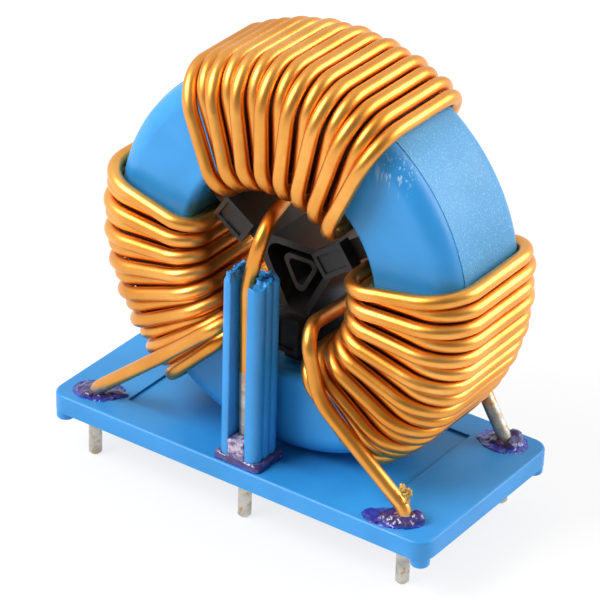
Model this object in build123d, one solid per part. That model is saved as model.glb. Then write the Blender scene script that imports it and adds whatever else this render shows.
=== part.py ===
from build123d import *
from math import cos, sin, radians, sqrt
import os

# Three-phase common mode choke standing on a moulded mounting plate.
# Millimetres. The plate's long side is X, the ring's axis is Y, the front faces -Y and the wire
# ends point down to Z = 0.

# Mounting plate
plate_length = 50.0
plate_width = 25.0
plate_thickness = 2.2
plate_corner = 2.0
plate_edge = 0.35
wire_end_length = 5.5
foot_diameter = 2.1
foot_height = 1.2
foot_inset = 1.35
pin_pitch_x = 20.65
pin_pitch_y = 9.7
seat_length = 34.0
seat_width = 17.0
seat_depth = 0.3

# Ring case and the core in it
ring_outer = 22.0
ring_inner = 12.0
ring_height = 14.0
ring_shift_x = 1.2
ring_shift_y = 0.6
case_wall = 1.3
case_outer_round = 2.4
case_inner_round = 0.9
seam_depth = 2.5
rim_step = 0.08
rabbet_height = 1.2
core_clearance = 0.3
core_round = 0.8

# Windings
wire_diameter = 1.6
tinned_diameter = 1.5
tip_chamfer = 0.25
strip_taper = 0.6
enamel_overhang = 0.1
turns = 15
wire_clearance = 0.1
bore_lift = 1.32
face_lift = 1.68
fan_lift = 0.68
rim_bend = 4.0
fan_bend = 1.0
side_bore_step = 5.4
top_bore_step = 6.0
side_rim_step = 4.6
top_rim_step = 4.5
top_bore_start = 135.0
top_rim_start = 120.4
right_bore_start = -67.0
right_rim_start = -53.4
left_bore_start = 246.8
left_rim_start = 231.8
first_pass_radius = 8.2
first_pass_turn = 4.6
first_pass_lift = 1.15
lead_bend = 2.5
lead_clearance = 0.08

# Spacer in the bore
hub_shift_x = 0.5
hub_drop = 1.3
spacer_web = 3.6
web_rim = 0.8
web_corner = 1.4
tube_reach = 1.6
tube_wall = 0.5
tube_recess = 0.8
arm_width = 2.4
arm_tip_clearance = 0.15
right_arm_angle = 36.0
left_arm_angle = 146.5
low_arm_angle = 270.0
right_block_start = 4.7
left_block_start = 6.4
low_block_start = 4.7
block_width = 3.1
block_length = 4.3
block_recess = 0.25
block_frame = 0.5
spacer_front_inset = 1.1
spacer_step = 1.6
pocket_depth = 5.0

# Guides of the middle leads
guide_height = 23.5
guide_rear_height = 12.4
guide_top_slope = 14.0
guide_depth = 4.4
guide_width = 5.0
guide_offset = 0.3
slot_width = 2.1
slot_offset = 0.2
lobe_radius = 0.95
guide_web_clearance = 0.2

# Glue at the feet of the leads
glue_reach_x = 3.3
glue_reach_y = 2.4
glue_height = 1.9
glue_skirt = 0.9
glue_fill = 3.0
glue_margin = 0.5
glue_lip = 0.25
glue_clearance = 0.02

# Derived places
plate_bottom = wire_end_length
plate_top = plate_bottom + plate_thickness
ring_z = plate_top + ring_outer + rim_step - seat_depth
front_face = ring_shift_y - ring_height / 2
rear_face = ring_shift_y + ring_height / 2
wire_radius = wire_diameter / 2
wrap = wire_radius + wire_clearance
hole_radius = wire_radius + wire_clearance
enamel_start = plate_bottom - enamel_overhang
tinned_length = enamel_start - strip_taper
bore_wire_r = ring_inner - wrap
# A bend wider than the case's own round needs the wire to stand a little off the rim.
rim_slack = (1 - 1 / sqrt(2)) * (rim_bend - case_outer_round - wrap)
rim_wire_r = ring_outer + rim_step + wrap + rim_slack
rim_wire_y = wrap + rim_slack
bore_bend = case_inner_round + wrap


def on_ring(radius, angle, y):
    """A point at a radius and angle about the ring's axis, seen from the front."""
    return (ring_shift_x + radius * cos(radians(angle)), y, ring_z + radius * sin(radians(angle)))


def route_wire(points, bends, radius):
    """One round wire along straight runs joined by tangent arcs."""
    path = FilletPolyline(*points, radius=bends).wire()
    section = Plane(origin=path @ 0, z_dir=path % 0) * Circle(radius)
    return sweep(section, path=path)


def layer_of(turn):
    """Every second pass through the bore lies on top of its neighbours."""
    return turn % 2


def turn_points(bore_start, bore_by, rim_start, rim_by, first_pass, last_pass):
    """Corners and bend radii of one winding, from its first pass in the bore to its last."""
    points = []
    bends = []
    for turn in range(turns + 1):
        layer = layer_of(turn)
        bore_r = bore_wire_r - layer * bore_lift
        bore_angle = bore_start + bore_by * turn
        bend = bore_bend + layer * bore_lift
        if turn == 0:
            points.append(first_pass)
            bends.append(bend)
        else:
            points.append(on_ring(bore_r, bore_angle, front_face - wrap - layer * face_lift))
            bends.append(bend)
        if turn == turns:
            break
        if turn > 0:
            slant = bore_angle + bore_by * (0.5 - 0.5 * turn / turns)
            points.append(on_ring(bore_r, slant, rear_face + wrap + layer * face_lift))
            bends.append(bend)
        rim_angle = rim_start + rim_by * turn
        away = rim_by / 2 if turn == 0 else 0.0
        next_layer = layer_of(turn + 1)
        rear_y = rear_face + rim_wire_y + layer * fan_lift
        front_y = front_face - rim_wire_y - next_layer * fan_lift
        points.append(on_ring(rim_wire_r, rim_angle - away, rear_y))
        bends.append(rim_bend + layer * fan_bend)
        points.append(on_ring(rim_wire_r, rim_angle, front_y))
        bends.append(rim_bend + next_layer * fan_bend)
    points.append(last_pass)
    bends.append(bore_bend)
    return points, bends


def pin_foot(column, row):
    """The straight end of a lead: under the plate, and where it leaves the hole on top."""
    x = column * pin_pitch_x
    y = row * pin_pitch_y
    return [(x, y, enamel_start), (x, y, plate_top + 0.6)]


def mirrored(side, angle):
    """An angle of the right side, or its mirror image on the left."""
    return angle if side > 0 else 180 - angle


def right_front_lead():
    """From the pin straight up over the first turns, then round into the bore."""
    over_y = front_face - wrap - face_lift - wire_diameter - lead_clearance
    knee = on_ring(ring_outer + 5.6, -46.5, -pin_pitch_y)
    middle = on_ring(ring_inner + 1.6, -50.5, over_y)
    mouth = on_ring(ring_inner - 5.0, -24.0, over_y + 0.4)
    return [(knee, 2.0), (middle, 7.0), (mouth, 2.6)]


def left_front_lead():
    """From the pin in one long slant over the first turns to the bore."""
    over_y = front_face - wrap - face_lift - wire_diameter - lead_clearance
    middle = on_ring(ring_outer - 3.8, 227.0, over_y + 0.2)
    mouth = on_ring(ring_inner - 4.2, 235.0, over_y)
    return [(middle, 20.0), (mouth, 2.6)]


def side_rear_lead(side):
    """From the last turn across the back of the winding and down to the pin."""
    second_y = rear_face + wrap + face_lift
    over_y = second_y + wire_diameter + lead_clearance
    inside = on_ring(ring_inner - 5.4, mirrored(side, 14.0), second_y + 0.2)
    mouth = on_ring(ring_inner - 5.0, mirrored(side, -38.0), second_y + 0.6)
    over = on_ring(ring_inner + 1.0, mirrored(side, -46.0), over_y)
    edge = on_ring(ring_outer - 1.0, mirrored(side, -46.5), over_y - 0.6)
    low = on_ring(ring_outer + 2.9, mirrored(side, -46.0), pin_pitch_y + 0.1)
    return [(inside, 2.0), (mouth, lead_bend), (over, 5.0), (edge, 4.0), (low, lead_bend)]


def top_front_lead():
    """Up the front guide's slot and over its top into the bore."""
    slot_top = (0.1, -pin_pitch_y - 0.5, plate_top + 21.0)
    hook = on_ring(ring_inner - 5.5, 88.0, front_face - wrap - 2.2)
    return [(slot_top, 8.0), (hook, 3.2)]


def top_rear_lead():
    """Out of the bore at the back and down to the rear guide."""
    inside = on_ring(ring_inner - 5.4, 46.0, rear_face + wrap + face_lift + 0.2)
    hook = on_ring(3.0, 100.0, pin_pitch_y + 0.6)
    slot_top = (0.0, pin_pitch_y + 0.5, plate_top + 20.7)
    return [(inside, 2.0), (hook, 4.0), (slot_top, 8.0)]


def winding_route(place):
    """Points and bend radii of one whole winding with both its leads."""
    if place == "top":
        column = 0
        lead_in = top_front_lead()
        lead_out = top_rear_lead()
        bore_start = top_bore_start
        bore_by = -top_bore_step
        rim_start = top_rim_start
        rim_by = -top_rim_step
        first_angle = bore_start + first_pass_turn
    elif place == "right":
        column = 1
        lead_in = right_front_lead()
        lead_out = side_rear_lead(1)
        bore_start = right_bore_start
        bore_by = side_bore_step
        rim_start = right_rim_start
        rim_by = side_rim_step
        first_angle = bore_start - first_pass_turn
    else:
        column = -1
        lead_in = left_front_lead()
        lead_out = side_rear_lead(-1)
        bore_start = left_bore_start
        bore_by = -side_bore_step
        rim_start = left_rim_start
        rim_by = -side_rim_step
        first_angle = bore_start + first_pass_turn
    first = on_ring(first_pass_radius, first_angle, rear_face + wrap + face_lift + first_pass_lift)
    last_angle = bore_start + bore_by * turns
    last = on_ring(bore_wire_r - bore_lift, last_angle, rear_face + wrap + face_lift)
    start = pin_foot(column, -1)
    finish = pin_foot(column, 1)
    body, body_bends = turn_points(bore_start, bore_by, rim_start, rim_by, first, last)
    points = start + [spot for spot, bend in lead_in] + body
    points += [spot for spot, bend in lead_out] + [finish[1], finish[0]]
    bends = [lead_bend] + [bend for spot, bend in lead_in] + body_bends
    bends += [bend for spot, bend in lead_out] + [lead_bend]
    return points, bends


def tinned_end(column, row):
    """A lead's stripped and tinned end below the plate, thinner by the enamel it has lost."""
    outline = Polyline(
        (0, 0),
        (tinned_diameter / 2 - tip_chamfer, 0),
        (tinned_diameter / 2, tip_chamfer),
        (tinned_diameter / 2, tinned_length),
        (wire_radius, enamel_start),
        (0, enamel_start),
        close=True,
    )
    end = revolve(Plane.XZ * make_face(outline), axis=Axis.Z)
    return Pos(column * pin_pitch_x, row * pin_pitch_y, 0) * end


def winding(place, column):
    """A winding with its leads in one length, and the tinned end that carries on each lead."""
    points, bends = winding_route(place)
    wire = route_wire(points, bends, wire_radius)
    return Compound([wire, tinned_end(column, -1), tinned_end(column, 1)])


def base_plate():
    """Moulded plate: rounded corners, corner feet, wire holes and the ring's shallow seat."""
    centre_z = plate_bottom + plate_thickness / 2
    plate = Pos(0, 0, centre_z) * Box(plate_length, plate_width, plate_thickness)
    plate = fillet(plate.edges().filter_by(Axis.Z), plate_corner)
    plate = fillet(plate.edges().group_by(Axis.Z)[-1], plate_edge)
    foot_x = plate_length / 2 - foot_inset
    foot_y = plate_width / 2 - foot_inset
    foot = Cylinder(foot_diameter / 2, foot_height, align=(Align.CENTER, Align.CENTER, Align.MAX))
    foot = fillet(foot.edges().filter_by(GeomType.CIRCLE).sort_by(Axis.Z)[0], 0.25)
    for x in (-foot_x, foot_x):
        for y in (-foot_y, foot_y):
            plate += Pos(x, y, plate_bottom) * foot
    seat = Box(seat_length, seat_width, seat_depth, align=(Align.CENTER, Align.CENTER, Align.MAX))
    plate -= Pos(0, 0, plate_top) * seat
    hole = Cylinder(hole_radius, plate_thickness * 2)
    funnel = Cone(hole_radius, hole_radius + 0.5, 0.5, align=(Align.CENTER, Align.CENTER, Align.MAX))
    for column in (-1, 0, 1):
        for row in (-1, 1):
            plate -= Pos(column * pin_pitch_x, row * pin_pitch_y, centre_z) * hole
            plate -= Pos(column * pin_pitch_x, row * pin_pitch_y, plate_top) * funnel
    return plate


def ring_of(profile):
    """A closed section in radius and depth, turned about the ring's axis."""
    ring = revolve(Plane.XY * profile, axis=Axis.Y)
    return Pos(ring_shift_x, 0, ring_z) * ring


def strip(inner, outer, front, rear):
    """A rectangle of a ring's section, from one radius and depth to another."""
    width = outer - inner
    depth = rear - front
    return Pos(inner + width / 2, front + depth / 2) * Rectangle(width, depth)


def case_lid():
    """Front of the ring case: flat face, rounded edges, and a lip back to the seam."""
    seam = front_face + seam_depth
    rabbet = seam - rabbet_height
    section = strip(ring_inner, ring_outer, front_face, seam)
    section = fillet(section.vertices().sort_by(Axis.Y)[0:2].sort_by(Axis.X)[0], case_inner_round)
    section = fillet(section.vertices().sort_by(Axis.Y)[0:3].sort_by(Axis.X)[-1], case_outer_round)
    lip = case_wall / 2
    hollow = strip(ring_inner + lip, ring_outer - lip, rabbet, seam)
    floor = strip(ring_inner + case_wall, ring_outer - case_wall, front_face + case_wall, seam)
    return ring_of(section - hollow - floor)


def case_cup():
    """Rear of the ring case: a channel whose walls step inside the lid's lip."""
    seam = front_face + seam_depth
    section = strip(ring_inner, ring_outer + rim_step, seam, rear_face)
    section = fillet(section.vertices().sort_by(Axis.Y)[-2:].sort_by(Axis.X)[0], case_inner_round)
    section = fillet(section.vertices().sort_by(Axis.Y)[-3:].sort_by(Axis.X)[-1], case_outer_round)
    tongue_gap = 0.05
    half = case_wall / 2
    tongue_front = seam - rabbet_height + tongue_gap
    tongue = strip(ring_inner + half + tongue_gap, ring_outer - half - tongue_gap, tongue_front, seam)
    hollow = strip(ring_inner + case_wall, ring_outer - case_wall, tongue_front, rear_face - case_wall)
    return ring_of(section + tongue - hollow)


def core_ring():
    """The wound-strip magnetic core, loose in its case by a small clearance."""
    gap = case_wall + core_clearance
    section = strip(ring_inner + gap, ring_outer - gap, front_face + gap, rear_face - gap)
    section = fillet(section.vertices(), core_round)
    return ring_of(section)


def spacer_bar(angle, width, start, end):
    """A straight bar of the spacer's outline, from one distance to another out from its hub."""
    return Rot(0, 0, angle) * Pos((start + end) / 2, 0) * Rectangle(end - start, width)


def spacer_triangle(reach, corner):
    """A rounded triangle with a corner towards each arm and its sides at one distance from the hub."""
    size = 4 * ring_inner
    angles = (right_arm_angle, left_arm_angle, low_arm_angle, right_arm_angle + 360)
    triangle = Rectangle(size, size)
    for first, second in zip(angles, angles[1:]):
        triangle &= Rot(0, 0, (first + second) / 2) * Pos(reach - size / 2, 0) * Rectangle(size, size)
    return fillet(triangle.vertices(), corner)


def winding_spacer():
    """Three-armed piece low in the bore: pocketed hub with a tube, and a raised block on each arm."""
    front = front_face + spacer_front_inset
    rear = rear_face - spacer_front_inset
    depth = rear - front - spacer_step
    bars = Sketch()
    blocks = Sketch()
    frames = Sketch()
    arms = (
        (right_arm_angle, right_block_start),
        (left_arm_angle, left_block_start),
        (low_arm_angle, low_block_start),
    )
    for angle, start in arms:
        end = start + block_length
        bars += spacer_bar(angle, arm_width, 0, 2 * ring_inner)
        blocks += spacer_bar(angle, block_width, start, end)
        frames += spacer_bar(angle, block_width - 2 * block_frame, start + block_frame, end - block_frame)
    bars &= Pos(-hub_shift_x, hub_drop) * Circle(ring_inner - arm_tip_clearance)
    outline = spacer_triangle(spacer_web, 0.3) + bars
    pocket = spacer_triangle(spacer_web - web_rim, web_corner)
    tube = spacer_triangle(tube_reach, tube_reach / 2)
    tube_hole = spacer_triangle(tube_reach - tube_wall, tube_reach / 3)
    body = extrude(outline, depth)
    body -= Pos(0, 0, depth - pocket_depth) * extrude(pocket, pocket_depth)
    body += extrude(tube, depth - tube_recess)
    body -= extrude(tube_hole, depth)
    body += Pos(0, 0, depth) * extrude(blocks, spacer_step)
    body -= Pos(0, 0, depth + spacer_step - block_recess) * extrude(frames, block_recess)
    # The outline is drawn in a plane that faces the front, so it stands up in one turn.
    return Pos(ring_shift_x + hub_shift_x, rear, ring_z - hub_drop) * Rot(90, 0, 0) * body


def guide_half(side, heights):
    """One fluted half of a guide: three upright lobes, each cut off at its own height."""
    outside = guide_offset + side * guide_width / 2
    wall = slot_offset + side * slot_width / 2
    lobe_x = outside - side * lobe_radius
    pitch = (guide_depth - 2 * lobe_radius) / 2
    half = None
    for index, height in enumerate(heights):
        y = (index - 1) * pitch
        lobe = Pos(lobe_x, y) * Circle(lobe_radius)
        flank = Pos((wall + lobe_x) / 2, y) * Rectangle(abs(lobe_x - wall), 2 * lobe_radius)
        column = extrude(lobe + flank, height)
        cut = Box(8, 8, 4, align=(Align.CENTER, Align.CENTER, Align.MIN))
        column -= Pos(outside, y, height - 0.45) * Rot(0, side * guide_top_slope, 0) * cut
        half = column if half is None else half + column
    slot = Box(slot_width, guide_depth * 2, guide_height * 4)
    return half - Pos(slot_offset, 0, 0) * slot


def lead_guide(row, height):
    """Slotted upright on the plate that holds a middle lead in line with its hole."""
    left = guide_half(-1, (height, height + 0.1, height - 0.3))
    right = guide_half(1, (height - 1.0, height - 0.5, height - 0.7))
    web_front = wire_radius + 0.45
    web_depth = guide_depth / 2 - web_front
    web = Pos(slot_offset, web_front + web_depth / 2, 0) * Box(
        slot_width + 0.6, web_depth, height - 1.4, align=(Align.CENTER, Align.CENTER, Align.MIN)
    )
    guide = left + right + web
    if row > 0:
        guide = mirror(guide, about=Plane.XZ)
    guide = Pos(0, row * pin_pitch_y, plate_top) * guide
    # The side that faces the ring is cut back where it would touch the case.
    reach = rear_face + guide_web_clearance if row > 0 else front_face - guide_web_clearance
    return guide - Pos(0, reach - row * 5, plate_top) * Box(20, 10, 120)


def lead_foot(place, row):
    """The room that a lead takes just above the plate, a hair larger than the wire."""
    points, bends = winding_route(place)
    if row > 0:
        points = points[::-1]
        bends = bends[::-1]
    return route_wire(points[:4], bends[:2], wire_radius + glue_clearance)


def glue_bead(place, column, row):
    """A bead of adhesive on the plate around a side lead."""
    bead = scale(Sphere(1.0), by=(glue_reach_x, glue_reach_y, glue_height))
    bead &= Box(20, 20, 10, align=(Align.CENTER, Align.CENTER, Align.MIN))
    bead = Pos(column * pin_pitch_x, row * pin_pitch_y, plate_top) * bead
    return bead - lead_foot(place, row)


def glue_skirt_around(guide, row):
    """Adhesive round a guide's foot and up the bottom of its slot, around the middle lead."""
    outer = pin_pitch_y + guide_depth / 2 + glue_lip
    box = guide.bounding_box()
    ring_side = box.max.Y if row < 0 else box.min.Y
    depth = outer - abs(ring_side)
    width = guide_width + 2 * glue_margin
    centre_y = row * (abs(ring_side) + depth / 2)
    outline = Pos(guide_offset, centre_y) * Rectangle(width, depth)
    corners = outline.vertices().sort_by(Axis.Y)
    far = corners[:2] if row < 0 else corners[-2:]
    outline = fillet(far, glue_margin)
    skirt = extrude(outline, glue_skirt)
    skirt = chamfer(skirt.edges().group_by(Axis.Z)[-1], 0.2)
    fill_depth = guide_depth / 2 + wire_radius
    fill = Pos(slot_offset, row * (pin_pitch_y + guide_depth / 4 - 0.3)) * Rectangle(slot_width, fill_depth)
    skirt += extrude(fill, glue_fill)
    skirt = Pos(0, 0, plate_top) * skirt
    return skirt - guide - lead_foot("top", row)


def main():
    os.makedirs("parts", exist_ok=True)
    guide_front = lead_guide(-1, guide_height)
    guide_rear = lead_guide(1, guide_rear_height)
    nodes = {
        "base_plate": base_plate(),
        "case_cup": case_cup(),
        "case_lid": case_lid(),
        "core_ring": core_ring(),
        "winding_spacer": winding_spacer(),
        "winding_top": winding("top", 0),
        "winding_right": winding("right", 1),
        "winding_left": winding("left", -1),
        "lead_guide_front": guide_front,
        "lead_guide_rear": guide_rear,
        "glue_front_left": glue_bead("left", -1, -1),
        "glue_front_middle": glue_skirt_around(guide_front, -1),
        "glue_front_right": glue_bead("right", 1, -1),
        "glue_rear_left": glue_bead("left", -1, 1),
        "glue_rear_middle": glue_skirt_around(guide_rear, 1),
        "glue_rear_right": glue_bead("right", 1, 1),
    }
    for name, node in nodes.items():
        node.label = name
        export_step(node, "parts/" + name + ".step")


if __name__ == "__main__":
    main()
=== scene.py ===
import math

import bpy
from mathutils import Matrix, Vector


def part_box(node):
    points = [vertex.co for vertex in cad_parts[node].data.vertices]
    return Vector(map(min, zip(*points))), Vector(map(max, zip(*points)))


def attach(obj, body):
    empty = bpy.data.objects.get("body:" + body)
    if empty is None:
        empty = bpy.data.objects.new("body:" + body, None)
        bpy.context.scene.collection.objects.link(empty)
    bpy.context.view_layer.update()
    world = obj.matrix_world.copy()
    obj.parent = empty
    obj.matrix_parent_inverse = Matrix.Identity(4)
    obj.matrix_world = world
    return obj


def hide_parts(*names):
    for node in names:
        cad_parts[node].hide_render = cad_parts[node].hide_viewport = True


bl_info = {
    "name": "Common Mode Choke",
    "version": (1, 0, 0),
    "blender": (4, 5, 0),
    "location": "View3D > Sidebar > Choke",
    "description": "Finishes and small pieces of a three-winding toroidal choke on its plate",
    "category": "Object",
}

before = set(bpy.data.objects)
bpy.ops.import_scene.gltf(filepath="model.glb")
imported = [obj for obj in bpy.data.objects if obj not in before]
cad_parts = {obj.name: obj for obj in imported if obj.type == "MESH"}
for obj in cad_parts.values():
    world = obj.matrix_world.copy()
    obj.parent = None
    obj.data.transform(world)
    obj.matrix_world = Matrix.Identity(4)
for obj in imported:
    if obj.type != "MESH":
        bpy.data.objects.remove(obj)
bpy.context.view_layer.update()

# Lengths are in metres, apart from the tables of drops and flakes, which are in millimetres
MM = 0.001
PLATE_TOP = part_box("base_plate")[1][2]
LID_LOW, LID_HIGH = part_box("case_lid")
RING_X = (LID_LOW[0] + LID_HIGH[0]) / 2
RING_Z = (LID_LOW[2] + LID_HIGH[2]) / 2

# Middle of the rubbed marks on the lid's upper right edge, and how far they reach
RUBBED_SPOT = (RING_X + 0.0138, LID_LOW[1] + 0.0004, RING_Z + 0.0160)
RUBBED_REACH = 0.0030

# Middles of the three windings' sectors on the case, where brown shade is painted under the
# turns, and half a sector's width, in degrees
COVERED_MIDDLES = (89.0, -24.0, 204.0)
COVERED_HALF = 29.0

# Between these distances from the plate's middle, the middle leads give way to the side leads
SIDE_LEADS_EDGE = (0.0174, 0.0178)
# How high over the plate the front side leads are stripped, which the adhesive all but hides
FRONT_STRIP_HEIGHT = 0.0010
# How far the edge of the stripped length wanders, and how softly it ends
STRIP_WANDER = 0.0010
STRIP_EDGE = 0.0005

# How high over the plate adhesive turns cloudy, in a guide's slot and in a plain drop (never)
SLOT_CLOUDY_HEIGHT = 0.0007
DROP_CLOUDY_HEIGHT = 0.02

# A copied CAD mesh is loose triangles, which are merged within this distance
MERGE_DISTANCE = 0.000001
# Sizes of the even skins that new pieces get
GUIDE_SKIN = 0.00013
FLAKE_SKIN = 0.00006
DROP_SKIN = 0.00008
SKIRT_SKIN = 0.00010
# How far down a guide's top is crumbled, and over what depth that fades in
CRUMBLED_DEPTH = 0.0016
CRUMBLED_FADE = 0.0008
# Adhesive is cut off this far inside the plate
CUT_UNDER = 0.00001

# Colours that the finishes mix in
RUBBED_BLUE = (0.45, 0.62, 0.82)
# The dark brown is painted shade for the case under the turns
PAINTED_SHADE_BROWN = (0.075, 0.018, 0.006)
STRIP_DARK = (0.10, 0.10, 0.11)
STRIP_LIGHT = (0.24, 0.24, 0.25)
COPPER_FLECK = (0.50, 0.30, 0.13)
GLUE_HAZE = (0.30, 0.26, 0.42)
PEELED_ENAMEL = (0.70, 0.46, 0.12)
BURNT_ENAMEL = (0.30, 0.13, 0.03)
WHITE = (1.0, 1.0, 1.0, 1.0)

# The camera's sensor in millimetres, its lens shift and where it starts to see
SENSOR_WIDTH = 36.0
LENS_SHIFT = (-0.03045, 0.02372)
CLIP_START = 0.01

# Soft square lights: place, width and the stage's property that holds the power
LIGHTS = {
    "key_light": ((-0.22, -0.30, 0.42), 0.30, "key_power"),
    "fill_light": ((0.36, 0.32, 0.26), 0.34, "fill_power"),
}
LIGHTS_AIM = (0.0, 0.0, 0.028)

# Direction of the room's dark corner, and between which nearness to it the light falls off
DARK_CORNER = (0.62, -0.72, 0.31)
DARK_CORNER_EDGE = (0.15, 0.85)

# The floor's width, and the share of it that is seen as plain white
FLOOR_SIZE = 6.0
FLOOR_WHITE = 0.80

# Drops of adhesive: place from the lead's hole, radii and turn, the flat stain first
DROPS = {
    "glue_front_right": (
        ((-1.30, -0.40, 0.0), (3.40, 1.95, 0.22), 20.0),
        ((-0.50, -0.20, 0.1), (2.30, 1.60, 0.95), 15.0),
        ((1.05, 0.55, 0.2), (0.95, 0.85, 1.15), 0.0),
        ((-1.90, -0.75, 0.0), (1.20, 0.95, 0.55), 0.0),
        ((0.30, -0.95, 0.1), (0.90, 0.60, 0.70), 0.0),
    ),
    "glue_front_left": (
        ((0.00, 0.70, 0.0), (3.10, 2.30, 0.20), 25.0),
        ((-0.30, 0.20, 0.0), (2.15, 1.75, 0.70), 20.0),
        ((1.90, 1.20, 0.0), (1.50, 0.70, 0.50), 25.0),
        ((-0.20, -1.10, 0.1), (0.90, 0.55, 0.60), 0.0),
    ),
    "glue_rear_right": (
        ((-0.20, 0.00, 0.0), (3.00, 2.40, 0.20), 0.0),
        ((0.00, 0.20, 0.0), (2.10, 1.70, 0.80), 10.0),
        ((0.40, 1.40, 0.2), (0.85, 0.75, 0.90), 0.0),
        ((1.10, -0.60, 0.1), (0.70, 0.70, 0.75), 0.0),
    ),
    "glue_rear_left": (
        ((0.20, 0.10, 0.0), (2.90, 2.20, 0.20), 12.0),
        ((0.10, 0.00, 0.0), (2.00, 1.60, 0.85), 0.0),
        ((-0.90, 0.70, 0.2), (0.80, 0.80, 0.90), 0.0),
    ),
}

# Flakes of peeled enamel on the front right lead: place on the plate, radii and turn
FLAKES = (
    ((20.75, -9.85, 3.55), (0.60, 0.30, 0.60), 30.0),
    ((20.30, -10.00, 4.15), (0.50, 0.30, 0.50), -20.0),
    ((20.95, -10.00, 2.90), (0.32, 0.22, 0.45), 10.0),
)


# Helpers for modelling


def clear_selection():
    """Deselect everything, so that an operator acts only on what is made next."""
    if bpy.context.object and bpy.context.object.mode != "OBJECT":
        bpy.ops.object.mode_set(mode="OBJECT")
    bpy.ops.object.select_all(action="DESELECT")


def select_only(piece):
    """Select one piece alone and make it active."""
    clear_selection()
    piece.select_set(True)
    bpy.context.view_layer.objects.active = piece


def apply_modifiers(piece):
    """Apply a piece's modifiers in order."""
    select_only(piece)
    for modifier in list(piece.modifiers):
        bpy.ops.object.modifier_apply(modifier=modifier.name)


def ellipsoid(place, radii, turn):
    """An egg-shaped start for a lump, at a place on the plate's top, in millimetres."""
    clear_selection()
    bpy.ops.mesh.primitive_uv_sphere_add(segments=40, ring_count=20, radius=1.0)
    egg = bpy.context.object
    egg.scale = Vector(radii) * MM
    egg.rotation_euler = (0.0, 0.0, math.radians(turn))
    egg.location = Vector(place) * MM + Vector((0.0, 0.0, PLATE_TOP))
    select_only(egg)
    bpy.ops.object.transform_apply(location=True, rotation=True, scale=True)
    return egg


def joined(pieces, name):
    """Several pieces made one."""
    clear_selection()
    for piece in pieces:
        piece.select_set(True)
    bpy.context.view_layer.objects.active = pieces[0]
    bpy.ops.object.join()
    piece = bpy.context.object
    piece.name = name
    piece.data.name = name
    return piece


def merged_copy(node, suffix):
    """A new piece from a CAD node's mesh, with its loose triangles merged."""
    piece = bpy.data.objects.new(node + suffix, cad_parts[node].data.copy())
    bpy.context.scene.collection.objects.link(piece)
    select_only(piece)
    bpy.ops.object.mode_set(mode="EDIT")
    bpy.ops.mesh.select_all(action="SELECT")
    bpy.ops.mesh.remove_doubles(threshold=MERGE_DISTANCE)
    bpy.ops.object.mode_set(mode="OBJECT")
    return piece


def even_skin(piece, size):
    """Turn a piece into one even skin."""
    modifier = piece.modifiers.new("skin", "REMESH")
    modifier.mode = "VOXEL"
    modifier.voxel_size = size
    modifier.use_smooth_shade = True


def soften(piece, repeats):
    """Soften a piece's surface."""
    modifier = piece.modifiers.new("soften", "SMOOTH")
    modifier.factor = 0.5
    modifier.iterations = repeats


def roughen(piece, texture_name, lump, strength, group="", level=0.5):
    """Push a piece's surface in and out by a cloud pattern with lumps of a given size."""
    texture = bpy.data.textures.get(texture_name)
    if texture is None:
        texture = bpy.data.textures.new(texture_name, "CLOUDS")
        texture.noise_scale = lump
    modifier = piece.modifiers.new("lumps", "DISPLACE")
    modifier.texture = texture
    modifier.strength = strength
    modifier.mid_level = level
    modifier.vertex_group = group


def cut_level(piece, height):
    """Cut a piece off flat below a height."""
    select_only(piece)
    bpy.ops.object.mode_set(mode="EDIT")
    bpy.ops.mesh.select_all(action="SELECT")
    bpy.ops.mesh.bisect(
        plane_co=(0, 0, height), plane_no=(0, 0, 1), use_fill=True, clear_inner=True)
    bpy.ops.object.mode_set(mode="OBJECT")


def place_on_part(piece, material, slot_name, *nodes):
    """Give a new piece its finish and its body, and hide the nodes it stands for; the slot name
    is not used.
    """
    piece.data.materials.clear()
    piece.data.materials.append(material)
    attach(piece, "root")
    if nodes:
        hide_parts(*nodes)


def dress(node, material):
    """Give a CAD node a finish."""
    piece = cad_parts[node]
    if not piece.data.materials:
        piece.data.materials.append(material)
    for slot in piece.material_slots:
        slot.material = material


# Helpers for node trees


def new_material(name):
    """A material, its node tree and its Principled shader."""
    material = bpy.data.materials.new(name)
    material.use_nodes = True
    tree = material.node_tree
    return material, tree, tree.nodes["Principled BSDF"]


def set_sockets(shader, values):
    """Set what is the same all over a surface."""
    for name, value in values.items():
        shader.inputs[name].default_value = value


def object_coordinates(tree, scale=(1.0, 1.0, 1.0), turn=(0.0, 0.0, 0.0)):
    """Object coordinates, stretched and turned."""
    place = tree.nodes.new("ShaderNodeTexCoord")
    mapping = tree.nodes.new("ShaderNodeMapping")
    mapping.inputs["Scale"].default_value = scale
    mapping.inputs["Rotation"].default_value = turn
    tree.links.new(place.outputs["Object"], mapping.inputs["Vector"])
    return mapping.outputs["Vector"]


def noise(tree, vector, scale, detail=3.0, roughness=0.5):
    """A noise pattern's value."""
    node = tree.nodes.new("ShaderNodeTexNoise")
    node.inputs["Scale"].default_value = scale
    node.inputs["Detail"].default_value = detail
    node.inputs["Roughness"].default_value = roughness
    tree.links.new(vector, node.inputs["Vector"])
    return node.outputs["Fac"]


def remap(tree, value, low, high, to_low=0.0, to_high=1.0):
    """A value stretched from one range to another and clamped."""
    node = tree.nodes.new("ShaderNodeMapRange")
    node.inputs["From Min"].default_value = low
    node.inputs["From Max"].default_value = high
    node.inputs["To Min"].default_value = to_low
    node.inputs["To Max"].default_value = to_high
    tree.links.new(value, node.inputs["Value"])
    return node.outputs["Result"]


def math_node(tree, operation, first, second=None):
    """One step of arithmetic on values or numbers."""
    node = tree.nodes.new("ShaderNodeMath")
    node.operation = operation
    for socket, item in zip(node.inputs, (first, second)):
        if item is None:
            continue
        if isinstance(item, (int, float)):
            socket.default_value = item
        else:
            tree.links.new(item, socket)
    return node.outputs["Value"]


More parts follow.
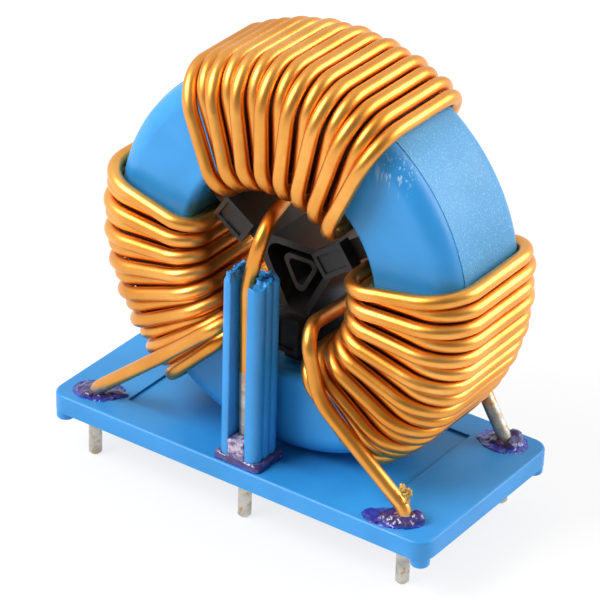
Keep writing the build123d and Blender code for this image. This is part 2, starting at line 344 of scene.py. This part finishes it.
def mix_colour(tree, factor, first, second):
    """Two colours mixed by a factor."""
    node = tree.nodes.new("ShaderNodeMix")
    node.data_type = "RGBA"
    tree.links.new(factor, node.inputs["Factor"])
    for name, item in (("A", first), ("B", second)):
        socket = [s for s in node.inputs if s.name == name and s.type == "RGBA"][0]
        if isinstance(item, tuple):
            socket.default_value = item + (1.0,)
        else:
            tree.links.new(item, socket)
    return [s for s in node.outputs if s.type == "RGBA"][0]


def mix_shaders(tree, factor, first, second):
    """Two shaders mixed by a factor."""
    node = tree.nodes.new("ShaderNodeMixShader")
    for socket, item in zip(node.inputs, (factor, first, second)):
        tree.links.new(item, socket)
    return node.outputs["Shader"]


def bump(tree, height, strength, distance):
    """A bump made from a height value."""
    node = tree.nodes.new("ShaderNodeBump")
    node.inputs["Strength"].default_value = strength
    node.inputs["Distance"].default_value = distance
    tree.links.new(height, node.inputs["Height"])
    return node.outputs["Normal"]


def split_axes(tree, vector):
    """The X, Y and Z values of a vector."""
    node = tree.nodes.new("ShaderNodeSeparateXYZ")
    tree.links.new(vector, node.inputs["Vector"])
    return node.outputs["X"], node.outputs["Y"], node.outputs["Z"]


def compare_with(tree, operation, vector, point):
    """A vector's distance from a point, or how far it points the same way."""
    node = tree.nodes.new("ShaderNodeVectorMath")
    node.operation = operation
    node.inputs[1].default_value = point
    tree.links.new(vector, node.inputs[0])
    return node.outputs["Value"]


def shade(colour, times, plus=0.0):
    """A colour made darker or lighter by one factor, or by one for each channel."""
    factors = times if isinstance(times, tuple) else (times, times, times)
    return tuple(min(1.0, c * factor + plus) for c, factor in zip(colour, factors))


# Sizes and colours that a user would change


class ChokeStage(bpy.types.PropertyGroup):
    azimuth: bpy.props.FloatProperty(
        name="Azimuth", description="Where the camera stands around the part, from the front",
        default=math.radians(34.16), subtype="ANGLE")
    elevation: bpy.props.FloatProperty(
        name="Elevation", description="How high the camera looks down from",
        default=math.radians(30.33), subtype="ANGLE")
    roll: bpy.props.FloatProperty(
        name="Roll", description="How far the camera is turned about its own line of sight",
        default=math.radians(1.97), subtype="ANGLE")
    distance: bpy.props.FloatProperty(
        name="Distance", description="From the camera to the middle of the plate",
        default=0.36203, unit="LENGTH")
    lens: bpy.props.FloatProperty(
        name="Lens", description="Focal length in millimetres for a 36 mm sensor", default=198.02)
    offset_x: bpy.props.FloatProperty(
        name="Side Offset", description="Sideways shift of the camera", default=0.00182,
        unit="LENGTH")
    offset_z: bpy.props.FloatProperty(
        name="Height Offset", description="Upward shift of the camera", default=0.01138,
        unit="LENGTH")
    floor_colour: bpy.props.FloatVectorProperty(
        name="Floor", description="Colour of the floor", size=3, subtype="COLOR",
        default=(0.86, 0.86, 0.86))
    key_power: bpy.props.FloatProperty(
        name="Key Light", description="Power of the main soft light in watts", default=3.0)
    fill_power: bpy.props.FloatProperty(
        name="Fill Light", description="Power of the rear light in watts", default=1.9)
    room_light: bpy.props.FloatProperty(
        name="Room Light", description="Strength of the light from the pale walls", default=0.85)
    dark_side: bpy.props.FloatProperty(
        name="Dark Side", description="Strength of the light from the room's dark front corner",
        default=0.24)


class ChokePlastics(bpy.types.PropertyGroup):
    plate_colour: bpy.props.FloatVectorProperty(
        name="Plate", description="Colour of the plate and the lead guides", size=3,
        subtype="COLOR", default=(0.020, 0.245, 0.600))
    case_colour: bpy.props.FloatVectorProperty(
        name="Case", description="Colour of the ring case's smooth lid", size=3,
        subtype="COLOR", default=(0.020, 0.250, 0.600))
    rim_colour: bpy.props.FloatVectorProperty(
        name="Rim", description="Colour of the ring case's grained cup", size=3,
        subtype="COLOR", default=(0.060, 0.310, 0.600))
    spacer_colour: bpy.props.FloatVectorProperty(
        name="Spacer", description="Colour of the spacer in the bore", size=3,
        subtype="COLOR", default=(0.010, 0.009, 0.009))
    grain_size: bpy.props.FloatProperty(
        name="Grain", description="Size of the cup's moulded grain", default=0.00016,
        unit="LENGTH")


class ChokeWire(bpy.types.PropertyGroup):
    enamel_colour: bpy.props.FloatVectorProperty(
        name="Enamel", description="Colour of the enamelled copper", size=3,
        subtype="COLOR", default=(0.92, 0.415, 0.080))
    tin_colour: bpy.props.FloatVectorProperty(
        name="Tin", description="Colour of the tinned ends", size=3, subtype="COLOR",
        default=(0.62, 0.60, 0.54))
    strip_height: bpy.props.FloatProperty(
        name="Stripped Length",
        description="How far the middle leads are stripped above the plate",
        default=0.0100, unit="LENGTH")
    rear_strip_height: bpy.props.FloatProperty(
        name="Rear Stripped Length",
        description="How far the rear side leads are stripped above the plate",
        default=0.0052, unit="LENGTH")


class ChokeGlue(bpy.types.PropertyGroup):
    deep_colour: bpy.props.FloatVectorProperty(
        name="Glue", description="Colour of the adhesive where it is thick", size=3,
        subtype="COLOR", default=(0.030, 0.014, 0.120))
    thin_colour: bpy.props.FloatVectorProperty(
        name="Thin Glue", description="Colour of the adhesive at its thin edge", size=3,
        subtype="COLOR", default=(0.022, 0.045, 0.420))
    cloudy_colour: bpy.props.FloatVectorProperty(
        name="Cloudy Glue", description="Colour of the adhesive that set cloudy in the guide",
        size=3, subtype="COLOR", default=(0.46, 0.38, 0.52))


# Finishes


def painted_shade_under_turns(tree, where):
    """The mask for painted shade where the case lies under a winding's turns, read as an angle
    about the ring's axis.
    """
    x, y, z = split_axes(tree, where)
    across = math_node(tree, "SUBTRACT", x, RING_X)
    upward = math_node(tree, "SUBTRACT", z, RING_Z)
    angle = math_node(tree, "ARCTAN2", upward, across)
    edge = math.sin(math.radians(COVERED_HALF / 2))
    painted_shade_mask = None
    for middle in COVERED_MIDDLES:
        # The sine of half the angle between a place and the sector's middle has no jump
        turned = math_node(tree, "SUBTRACT", angle, math.radians(middle))
        turned = math_node(tree, "SINE", math_node(tree, "MULTIPLY", turned, 0.5))
        turned = math_node(tree, "ABSOLUTE", turned)
        here = remap(tree, turned, edge - 0.01, edge + 0.01, 1.0, 0.0)
        painted_shade_mask = here if painted_shade_mask is None else math_node(tree, "MAXIMUM", painted_shade_mask, here)
    return painted_shade_mask


def blue_plastic(name, colour, grain, gloss, relief, painted_glint_level=0.0, shaded_under_turns=False):
    """Moulded blue plastic with grain, clouding, painted glints on the grain's tips, rubbed marks
    and painted brown shade under the turns.
    """
    material, tree, shader = new_material(name)
    where = object_coordinates(tree)

    # Slow clouding, then painted glints: the grain's tips painted pale
    cloud = remap(tree, noise(tree, where, 90.0, 3.0), 0.3, 0.7)
    plain = mix_colour(tree, cloud, shade(colour, 0.90), shade(colour, 1.16, 0.01))
    fine = noise(tree, where, 1.0 / grain, 2.0, 0.6)
    painted_glints = remap(tree, fine, 0.55, 0.72, 0.0, painted_glint_level)
    plain = mix_colour(tree, painted_glints, plain, shade(colour, 1.25, 0.16))

    # Scratches round the rubbed spot
    along = object_coordinates(tree, scale=(900.0, 900.0, 60.0), turn=(0.35, 0.5, 0.4))
    scratch = remap(tree, noise(tree, along, 4.0, 2.0), 0.58, 0.64, 0.0, 0.9)
    distance = compare_with(tree, "DISTANCE", where, RUBBED_SPOT)
    near = remap(tree, distance, 0.0, RUBBED_REACH, 1.0, 0.0)
    marks = math_node(tree, "MULTIPLY", scratch, near)
    plain = mix_colour(tree, marks, plain, RUBBED_BLUE)

    # Painted shade: the case is painted dark brown under the turns, for the shadow and copper
    # reflection between them
    if shaded_under_turns:
        plain = mix_colour(tree, painted_shade_under_turns(tree, where), plain, PAINTED_SHADE_BROWN)
    tree.links.new(plain, shader.inputs["Base Color"])
    tree.links.new(bump(tree, fine, relief, grain * 0.35), shader.inputs["Normal"])
    patches = noise(tree, where, 260.0, 4.0, 0.7)
    tree.links.new(
        remap(tree, patches, 0.35, 0.7, gloss, gloss + 0.14), shader.inputs["Roughness"])
    set_sockets(shader, {"Specular IOR Level": 0.45})
    return material


def black_plastic(colour):
    """Black moulded plastic with dusty scuffs."""
    material, tree, shader = new_material("spacer_black")
    where = object_coordinates(tree)
    dust = remap(tree, noise(tree, where, 420.0, 5.0, 0.7), 0.56, 0.78, 0.0, 0.55)
    dusty = mix_colour(tree, dust, colour, shade(colour, 1.0, 0.055))
    tree.links.new(dusty, shader.inputs["Base Color"])
    fine = noise(tree, where, 3500.0, 2.0)
    tree.links.new(bump(tree, fine, 0.25, 0.00006), shader.inputs["Normal"])
    set_sockets(shader, {"Roughness": 0.46})
    return material


def core_finish():
    """Dark strip core, hidden in its case."""
    material, tree, shader = new_material("core_dark")
    where = object_coordinates(tree, scale=(1.0, 0.05, 1.0))
    layers = noise(tree, where, 1800.0, 2.0)
    tree.links.new(
        mix_colour(tree, layers, STRIP_DARK, STRIP_LIGHT), shader.inputs["Base Color"])
    set_sockets(shader, {"Metallic": 0.8, "Roughness": 0.5})
    return material


def wire_finish(name, wire, front_strip, rear_strip):
    """Enamelled copper that turns to dull tin below the heights where its leads are stripped."""
    material, tree, shader = new_material(name)
    where = object_coordinates(tree)
    x, y, z = split_axes(tree, where)
    streak = noise(tree, where, 520.0, 4.0, 0.65)

    # Enamel, deeper in broad patches and in fine streaks
    deep = shade(wire.enamel_colour, (0.82, 0.70, 0.45))
    pale = shade(wire.enamel_colour, (1.08, 1.16, 1.40))
    broad = remap(tree, noise(tree, where, 75.0, 2.0), 0.35, 0.65)
    enamel = mix_colour(tree, broad, deep, pale)
    enamel = mix_colour(tree, remap(tree, streak, 0.45, 0.75, 0.0, 0.45), enamel, deep)

    # Tin, with copper showing in flecks
    bright = tuple(wire.tin_colour)
    tin = mix_colour(tree, remap(tree, streak, 0.4, 0.7), bright, shade(bright, 0.60))
    flecks = remap(tree, noise(tree, where, 1400.0, 3.0), 0.56, 0.64, 0.0, 0.8)
    tin = mix_colour(tree, flecks, tin, COPPER_FLECK)

    # The stripped height: the rear side leads have their own
    wander = noise(tree, where, 700.0, 3.0)
    wander = remap(tree, wander, 0.3, 0.7, -STRIP_WANDER, STRIP_WANDER)
    behind = remap(tree, y, -STRIP_EDGE, STRIP_EDGE)
    outer = remap(tree, math_node(tree, "ABSOLUTE", x), *SIDE_LEADS_EDGE)
    behind = math_node(tree, "MULTIPLY", behind, outer)
    limit = remap(tree, behind, 0.0, 1.0, front_strip, rear_strip)
    height = math_node(tree, "SUBTRACT", math_node(tree, "ADD", z, wander), limit)
    is_tin = remap(tree, height, -STRIP_EDGE, STRIP_EDGE, 1.0, 0.0)

    tree.links.new(mix_colour(tree, is_tin, enamel, tin), shader.inputs["Base Color"])
    gloss = remap(tree, streak, 0.3, 0.75, 0.30, 0.45)
    dull = math_node(tree, "MULTIPLY", is_tin, 0.16)
    tree.links.new(math_node(tree, "ADD", gloss, dull), shader.inputs["Roughness"])
    tree.links.new(bump(tree, streak, 0.14, 0.0001), shader.inputs["Normal"])
    set_sockets(shader, {"Metallic": 1.0, "Coat Weight": 0.18, "Coat Roughness": 0.14})
    return material


def flake_finish():
    """Peeled enamel, burnt in places."""
    material, tree, shader = new_material("enamel_flake")
    where = object_coordinates(tree)
    burnt = remap(tree, noise(tree, where, 1800.0, 3.0), 0.40, 0.65)
    tree.links.new(
        mix_colour(tree, burnt, PEELED_ENAMEL, BURNT_ENAMEL), shader.inputs["Base Color"])
    set_sockets(shader, {"Metallic": 0.5, "Roughness": 0.38})
    return material


def glue_finish(name, glue, cloudy_above):
    """Glossy indigo adhesive, bluer where it thins out, and cloudy where it stands high."""
    material, tree, shader = new_material(name)
    where = object_coordinates(tree)
    x, y, z = split_axes(tree, where)

    # Thick or thin, by height over the plate, with a wandering edge
    thick = remap(tree, z, PLATE_TOP + 0.00010, PLATE_TOP + 0.00045)
    wander = remap(tree, noise(tree, where, 520.0, 3.0), 0.3, 0.7, -0.30, 0.30)
    thick = remap(tree, math_node(tree, "ADD", thick, wander), 0.0, 1.0)
    colour = mix_colour(tree, thick, tuple(glue.thin_colour), tuple(glue.deep_colour))

    # A little haze where it is thick
    haze = remap(tree, noise(tree, where, 900.0, 4.0, 0.7), 0.48, 0.70, 0.0, 0.14)
    haze = math_node(tree, "MULTIPLY", haze, thick)
    colour = mix_colour(tree, haze, colour, GLUE_HAZE)

    # Veins of cloudy adhesive where it stands high
    high = remap(tree, z, cloudy_above, cloudy_above + 0.0006)
    veins = remap(tree, noise(tree, where, 1500.0, 3.0), 0.42, 0.55, 0.15, 1.0)
    high = math_node(tree, "MULTIPLY", high, veins)
    colour = mix_colour(tree, high, colour, tuple(glue.cloudy_colour))

    tree.links.new(colour, shader.inputs["Base Color"])
    fine = noise(tree, where, 1600.0, 3.0, 0.6)
    tree.links.new(bump(tree, fine, 0.16, 0.00012), shader.inputs["Normal"])
    tree.links.new(remap(tree, thick, 0.0, 1.0, 0.34, 0.20), shader.inputs["Roughness"])
    set_sockets(shader, {"Coat Weight": 0.6, "Coat Roughness": 0.12})
    return material


# Pieces


class CHOKE_OT_stage(bpy.types.Operator):
    """Set the camera, the floor, the soft lights and the room's light"""

    bl_idname = "choke.stage"
    bl_label = "Stage"

    def execute(self, context):
        stage = context.scene.choke_stage
        self.camera(context, stage)
        self.floor(stage)
        self.room(context, stage)
        for name, (place, width, power) in LIGHTS.items():
            self.lamp(context, name, Vector(place), width, getattr(stage, power))
        context.scene.view_settings.view_transform = "Standard"
        return {"FINISHED"}

    def camera(self, context, stage):
        """The camera, placed by its angles round the middle of the plate's top."""
        azimuth, elevation, roll = stage.azimuth, stage.elevation, stage.roll
        back = Vector((
            math.sin(azimuth) * math.cos(elevation),
            -math.cos(azimuth) * math.cos(elevation),
            math.sin(elevation),
        ))
        right = Vector((math.cos(azimuth), math.sin(azimuth), 0.0))
        up = back.cross(right)
        across = right * math.cos(roll) + up * math.sin(roll)
        upward = up * math.cos(roll) - right * math.sin(roll)
        place = right * stage.offset_x + up * stage.offset_z + back * stage.distance
        place += Vector((0.0, 0.0, PLATE_TOP))
        data = bpy.data.cameras.new("camera")
        data.sensor_width = SENSOR_WIDTH
        data.lens = stage.lens
        data.shift_x, data.shift_y = LENS_SHIFT
        data.clip_start = CLIP_START
        camera = bpy.data.objects.new("camera", data)
        turn = Matrix((across, upward, back)).transposed().to_4x4()
        camera.matrix_world = Matrix.Translation(place) @ turn
        context.scene.collection.objects.link(camera)
        context.scene.camera = camera

    def floor(self, stage):
        """A pale floor that takes shadows and is nearly white to the eye and in reflections."""
        clear_selection()
        bpy.ops.mesh.primitive_plane_add(size=FLOOR_SIZE, location=(0, 0, 0))
        floor = bpy.context.object
        floor.name = "floor"
        material, tree, shader = new_material("floor_pale")
        set_sockets(shader, {
            "Base Color": tuple(stage.floor_colour) + (1.0,),
            "Roughness": 0.9,
            "Specular IOR Level": 0.0,
        })
        white = tree.nodes.new("ShaderNodeEmission")
        set_sockets(white, {"Color": WHITE, "Strength": 1.0})
        path = tree.nodes.new("ShaderNodeLightPath").outputs
        seen = math_node(tree, "MAXIMUM", path["Is Camera Ray"], path["Is Glossy Ray"])
        seen = math_node(tree, "MAXIMUM", seen, path["Is Transmission Ray"])
        share = math_node(tree, "MULTIPLY", seen, FLOOR_WHITE)
        mixed = mix_shaders(tree, share, shader.outputs["BSDF"], white.outputs["Emission"])
        tree.links.new(mixed, tree.nodes["Material Output"].inputs["Surface"])
        floor.data.materials.append(material)

    def room(self, context, stage):
        """A room with pale walls and one dark corner, which is white behind the part."""
        world = bpy.data.worlds.new("room")
        context.scene.world = world
        world.use_nodes = True
        tree = world.node_tree
        walls = tree.nodes["Background"]
        walls.inputs["Color"].default_value = WHITE
        towards = tree.nodes.new("ShaderNodeTexCoord").outputs["Generated"]
        nearness = compare_with(tree, "DOT_PRODUCT", towards, DARK_CORNER)
        level = remap(tree, nearness, *DARK_CORNER_EDGE, stage.room_light, stage.dark_side)
        tree.links.new(level, walls.inputs["Strength"])
        backdrop = tree.nodes.new("ShaderNodeBackground")
        set_sockets(backdrop, {"Color": WHITE, "Strength": 1.0})
        path = tree.nodes.new("ShaderNodeLightPath").outputs
        mixed = mix_shaders(tree, path["Is Camera Ray"], walls.outputs["Background"],
                            backdrop.outputs["Background"])
        tree.links.new(mixed, tree.nodes["World Output"].inputs["Surface"])

    def lamp(self, context, name, place, width, power):
        """A soft square light that is aimed at the part."""
        data = bpy.data.lights.new(name, "AREA")
        data.shape = "SQUARE"
        data.size = width
        data.energy = power
        lamp = bpy.data.objects.new(name, data)
        turn = (Vector(LIGHTS_AIM) - place).to_track_quat("-Z", "Y").to_matrix().to_4x4()
        lamp.matrix_world = Matrix.Translation(place) @ turn
        context.scene.collection.objects.link(lamp)


class CHOKE_OT_plastics(bpy.types.Operator):
    """Finish the plate, the lead guides, the ring case, the spacer and the core"""

    bl_idname = "choke.plastics"
    bl_label = "Plastics"

    def execute(self, context):
        plastics = context.scene.choke_plastics
        plate = blue_plastic(
            "plate_blue", plastics.plate_colour, grain=0.00030, gloss=0.34, relief=0.10)
        dress("base_plate", plate)
        for node in ("lead_guide_front", "lead_guide_rear"):
            self.rough_top(node, plate)
        dress("case_lid", blue_plastic(
            "case_blue_smooth", plastics.case_colour, grain=0.00035, gloss=0.32, relief=0.10,
            shaded_under_turns=True))
        dress("case_cup", blue_plastic(
            "case_blue_grain", plastics.rim_colour, grain=plastics.grain_size, gloss=0.36,
            relief=0.7, painted_glint_level=0.9, shaded_under_turns=True))
        dress("winding_spacer", black_plastic(tuple(plastics.spacer_colour)))
        dress("core_ring", core_finish())
        return {"FINISHED"}

    def rough_top(self, node, material):
        """A lead guide with the crumbled edge that trimming left on its top."""
        guide = merged_copy(node, "_trimmed")
        even_skin(guide, GUIDE_SKIN)
        apply_modifiers(guide)
        top = max(vertex.co.z for vertex in guide.data.vertices)
        group = guide.vertex_groups.new(name="top")
        for vertex in guide.data.vertices:
            weight = (vertex.co.z - top + CRUMBLED_DEPTH) / CRUMBLED_FADE
            group.add([vertex.index], min(1.0, max(0.0, weight)), "REPLACE")
        soften(guide, 2)
        roughen(guide, "crumbs", lump=0.00060, strength=0.0012, group="top", level=0.85)
        apply_modifiers(guide)
        place_on_part(guide, material, "blue_plastic", node)


class CHOKE_OT_windings(bpy.types.Operator):
    """Finish the three windings, from enamel to tinned ends"""

    bl_idname = "choke.windings"
    bl_label = "Windings"

    def execute(self, context):
        wire = context.scene.choke_wire
        rear = PLATE_TOP + wire.rear_strip_height
        side = wire_finish("wire_side", wire, PLATE_TOP + FRONT_STRIP_HEIGHT, rear)
        middle = wire_finish("wire_middle", wire, PLATE_TOP + wire.strip_height, rear)
        dress("winding_left", side)
        dress("winding_right", side)
        dress("winding_top", middle)
        self.curl()
        return {"FINISHED"}

    def curl(self):
        """The curl of peeled enamel on the front right lead."""
        curl = joined([ellipsoid(*flake) for flake in FLAKES], "peeled_enamel")
        even_skin(curl, FLAKE_SKIN)
        roughen(curl, "flake", lump=0.00030, strength=0.0006)
        apply_modifiers(curl)
        place_on_part(curl, flake_finish(), "enamelled_wire")


class CHOKE_OT_glue(bpy.types.Operator):
    """Lay the drops of adhesive at the leads' feet"""

    bl_idname = "choke.glue"
    bl_label = "Glue"

    def execute(self, context):
        glue = context.scene.choke_glue
        clear = glue_finish("adhesive_indigo", glue, PLATE_TOP + DROP_CLOUDY_HEIGHT)
        cloudy = glue_finish("adhesive_cloudy", glue, PLATE_TOP + SLOT_CLOUDY_HEIGHT)
        for node, lumps in DROPS.items():
            self.drop(node, lumps, clear)
        for node in ("glue_front_middle", "glue_rear_middle"):
            self.skirt(node, cloudy)
        return {"FINISHED"}

    def drop(self, node, lumps, material):
        """A drop with its stain round a side lead's foot."""
        low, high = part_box(node)
        x = (low[0] + high[0]) / 2 / MM
        y = (low[1] + high[1]) / 2 / MM
        pieces = [
            ellipsoid((x + place[0], y + place[1], place[2]), radii, turn)
            for place, radii, turn in lumps
        ]
        drop = joined(pieces, node + "_drop")
        self.settle(drop, DROP_SKIN, 0.0004)
        place_on_part(drop, material, "adhesive", node)

    def skirt(self, node, material):
        """Adhesive round a guide's foot, standing up cloudy in its slot."""
        skirt = merged_copy(node, "_drop")
        self.settle(skirt, SKIRT_SKIN, 0.0003)
        place_on_part(skirt, material, "adhesive", node)

    def settle(self, piece, skin, strength):
        """Melt a piece's lumps together, roughen it a little and cut it off at the plate."""
        even_skin(piece, skin)
        soften(piece, 6)
        roughen(piece, "drips", lump=0.0009, strength=strength)
        apply_modifiers(piece)
        cut_level(piece, PLATE_TOP - CUT_UNDER)


class CHOKE_PT_panel(bpy.types.Panel):
    """The choke's pieces"""

    bl_idname = "CHOKE_PT_panel"
    bl_label = "Common Mode Choke"
    bl_space_type = "VIEW_3D"
    bl_region_type = "UI"
    bl_category = "Choke"

    def draw(self, context):
        for operator in OPERATORS:
            self.layout.operator(operator.bl_idname)


OPERATORS = (CHOKE_OT_stage, CHOKE_OT_plastics, CHOKE_OT_windings, CHOKE_OT_glue)
GROUPS = {
    "choke_stage": ChokeStage,
    "choke_plastics": ChokePlastics,
    "choke_wire": ChokeWire,
    "choke_glue": ChokeGlue,
}


def register():
    for name, group in GROUPS.items():
        bpy.utils.register_class(group)
        setattr(bpy.types.Scene, name, bpy.props.PointerProperty(type=group))
    for operator in OPERATORS:
        bpy.utils.register_class(operator)
    bpy.utils.register_class(CHOKE_PT_panel)


def unregister():
    bpy.utils.unregister_class(CHOKE_PT_panel)
    for operator in reversed(OPERATORS):
        bpy.utils.unregister_class(operator)
    for name, group in reversed(list(GROUPS.items())):
        delattr(bpy.types.Scene, name)
        bpy.utils.unregister_class(group)


def main():
    register()
    bpy.ops.choke.stage()
    bpy.ops.choke.plastics()
    bpy.ops.choke.windings()
    bpy.ops.choke.glue()


if __name__ == "__main__":
    main()
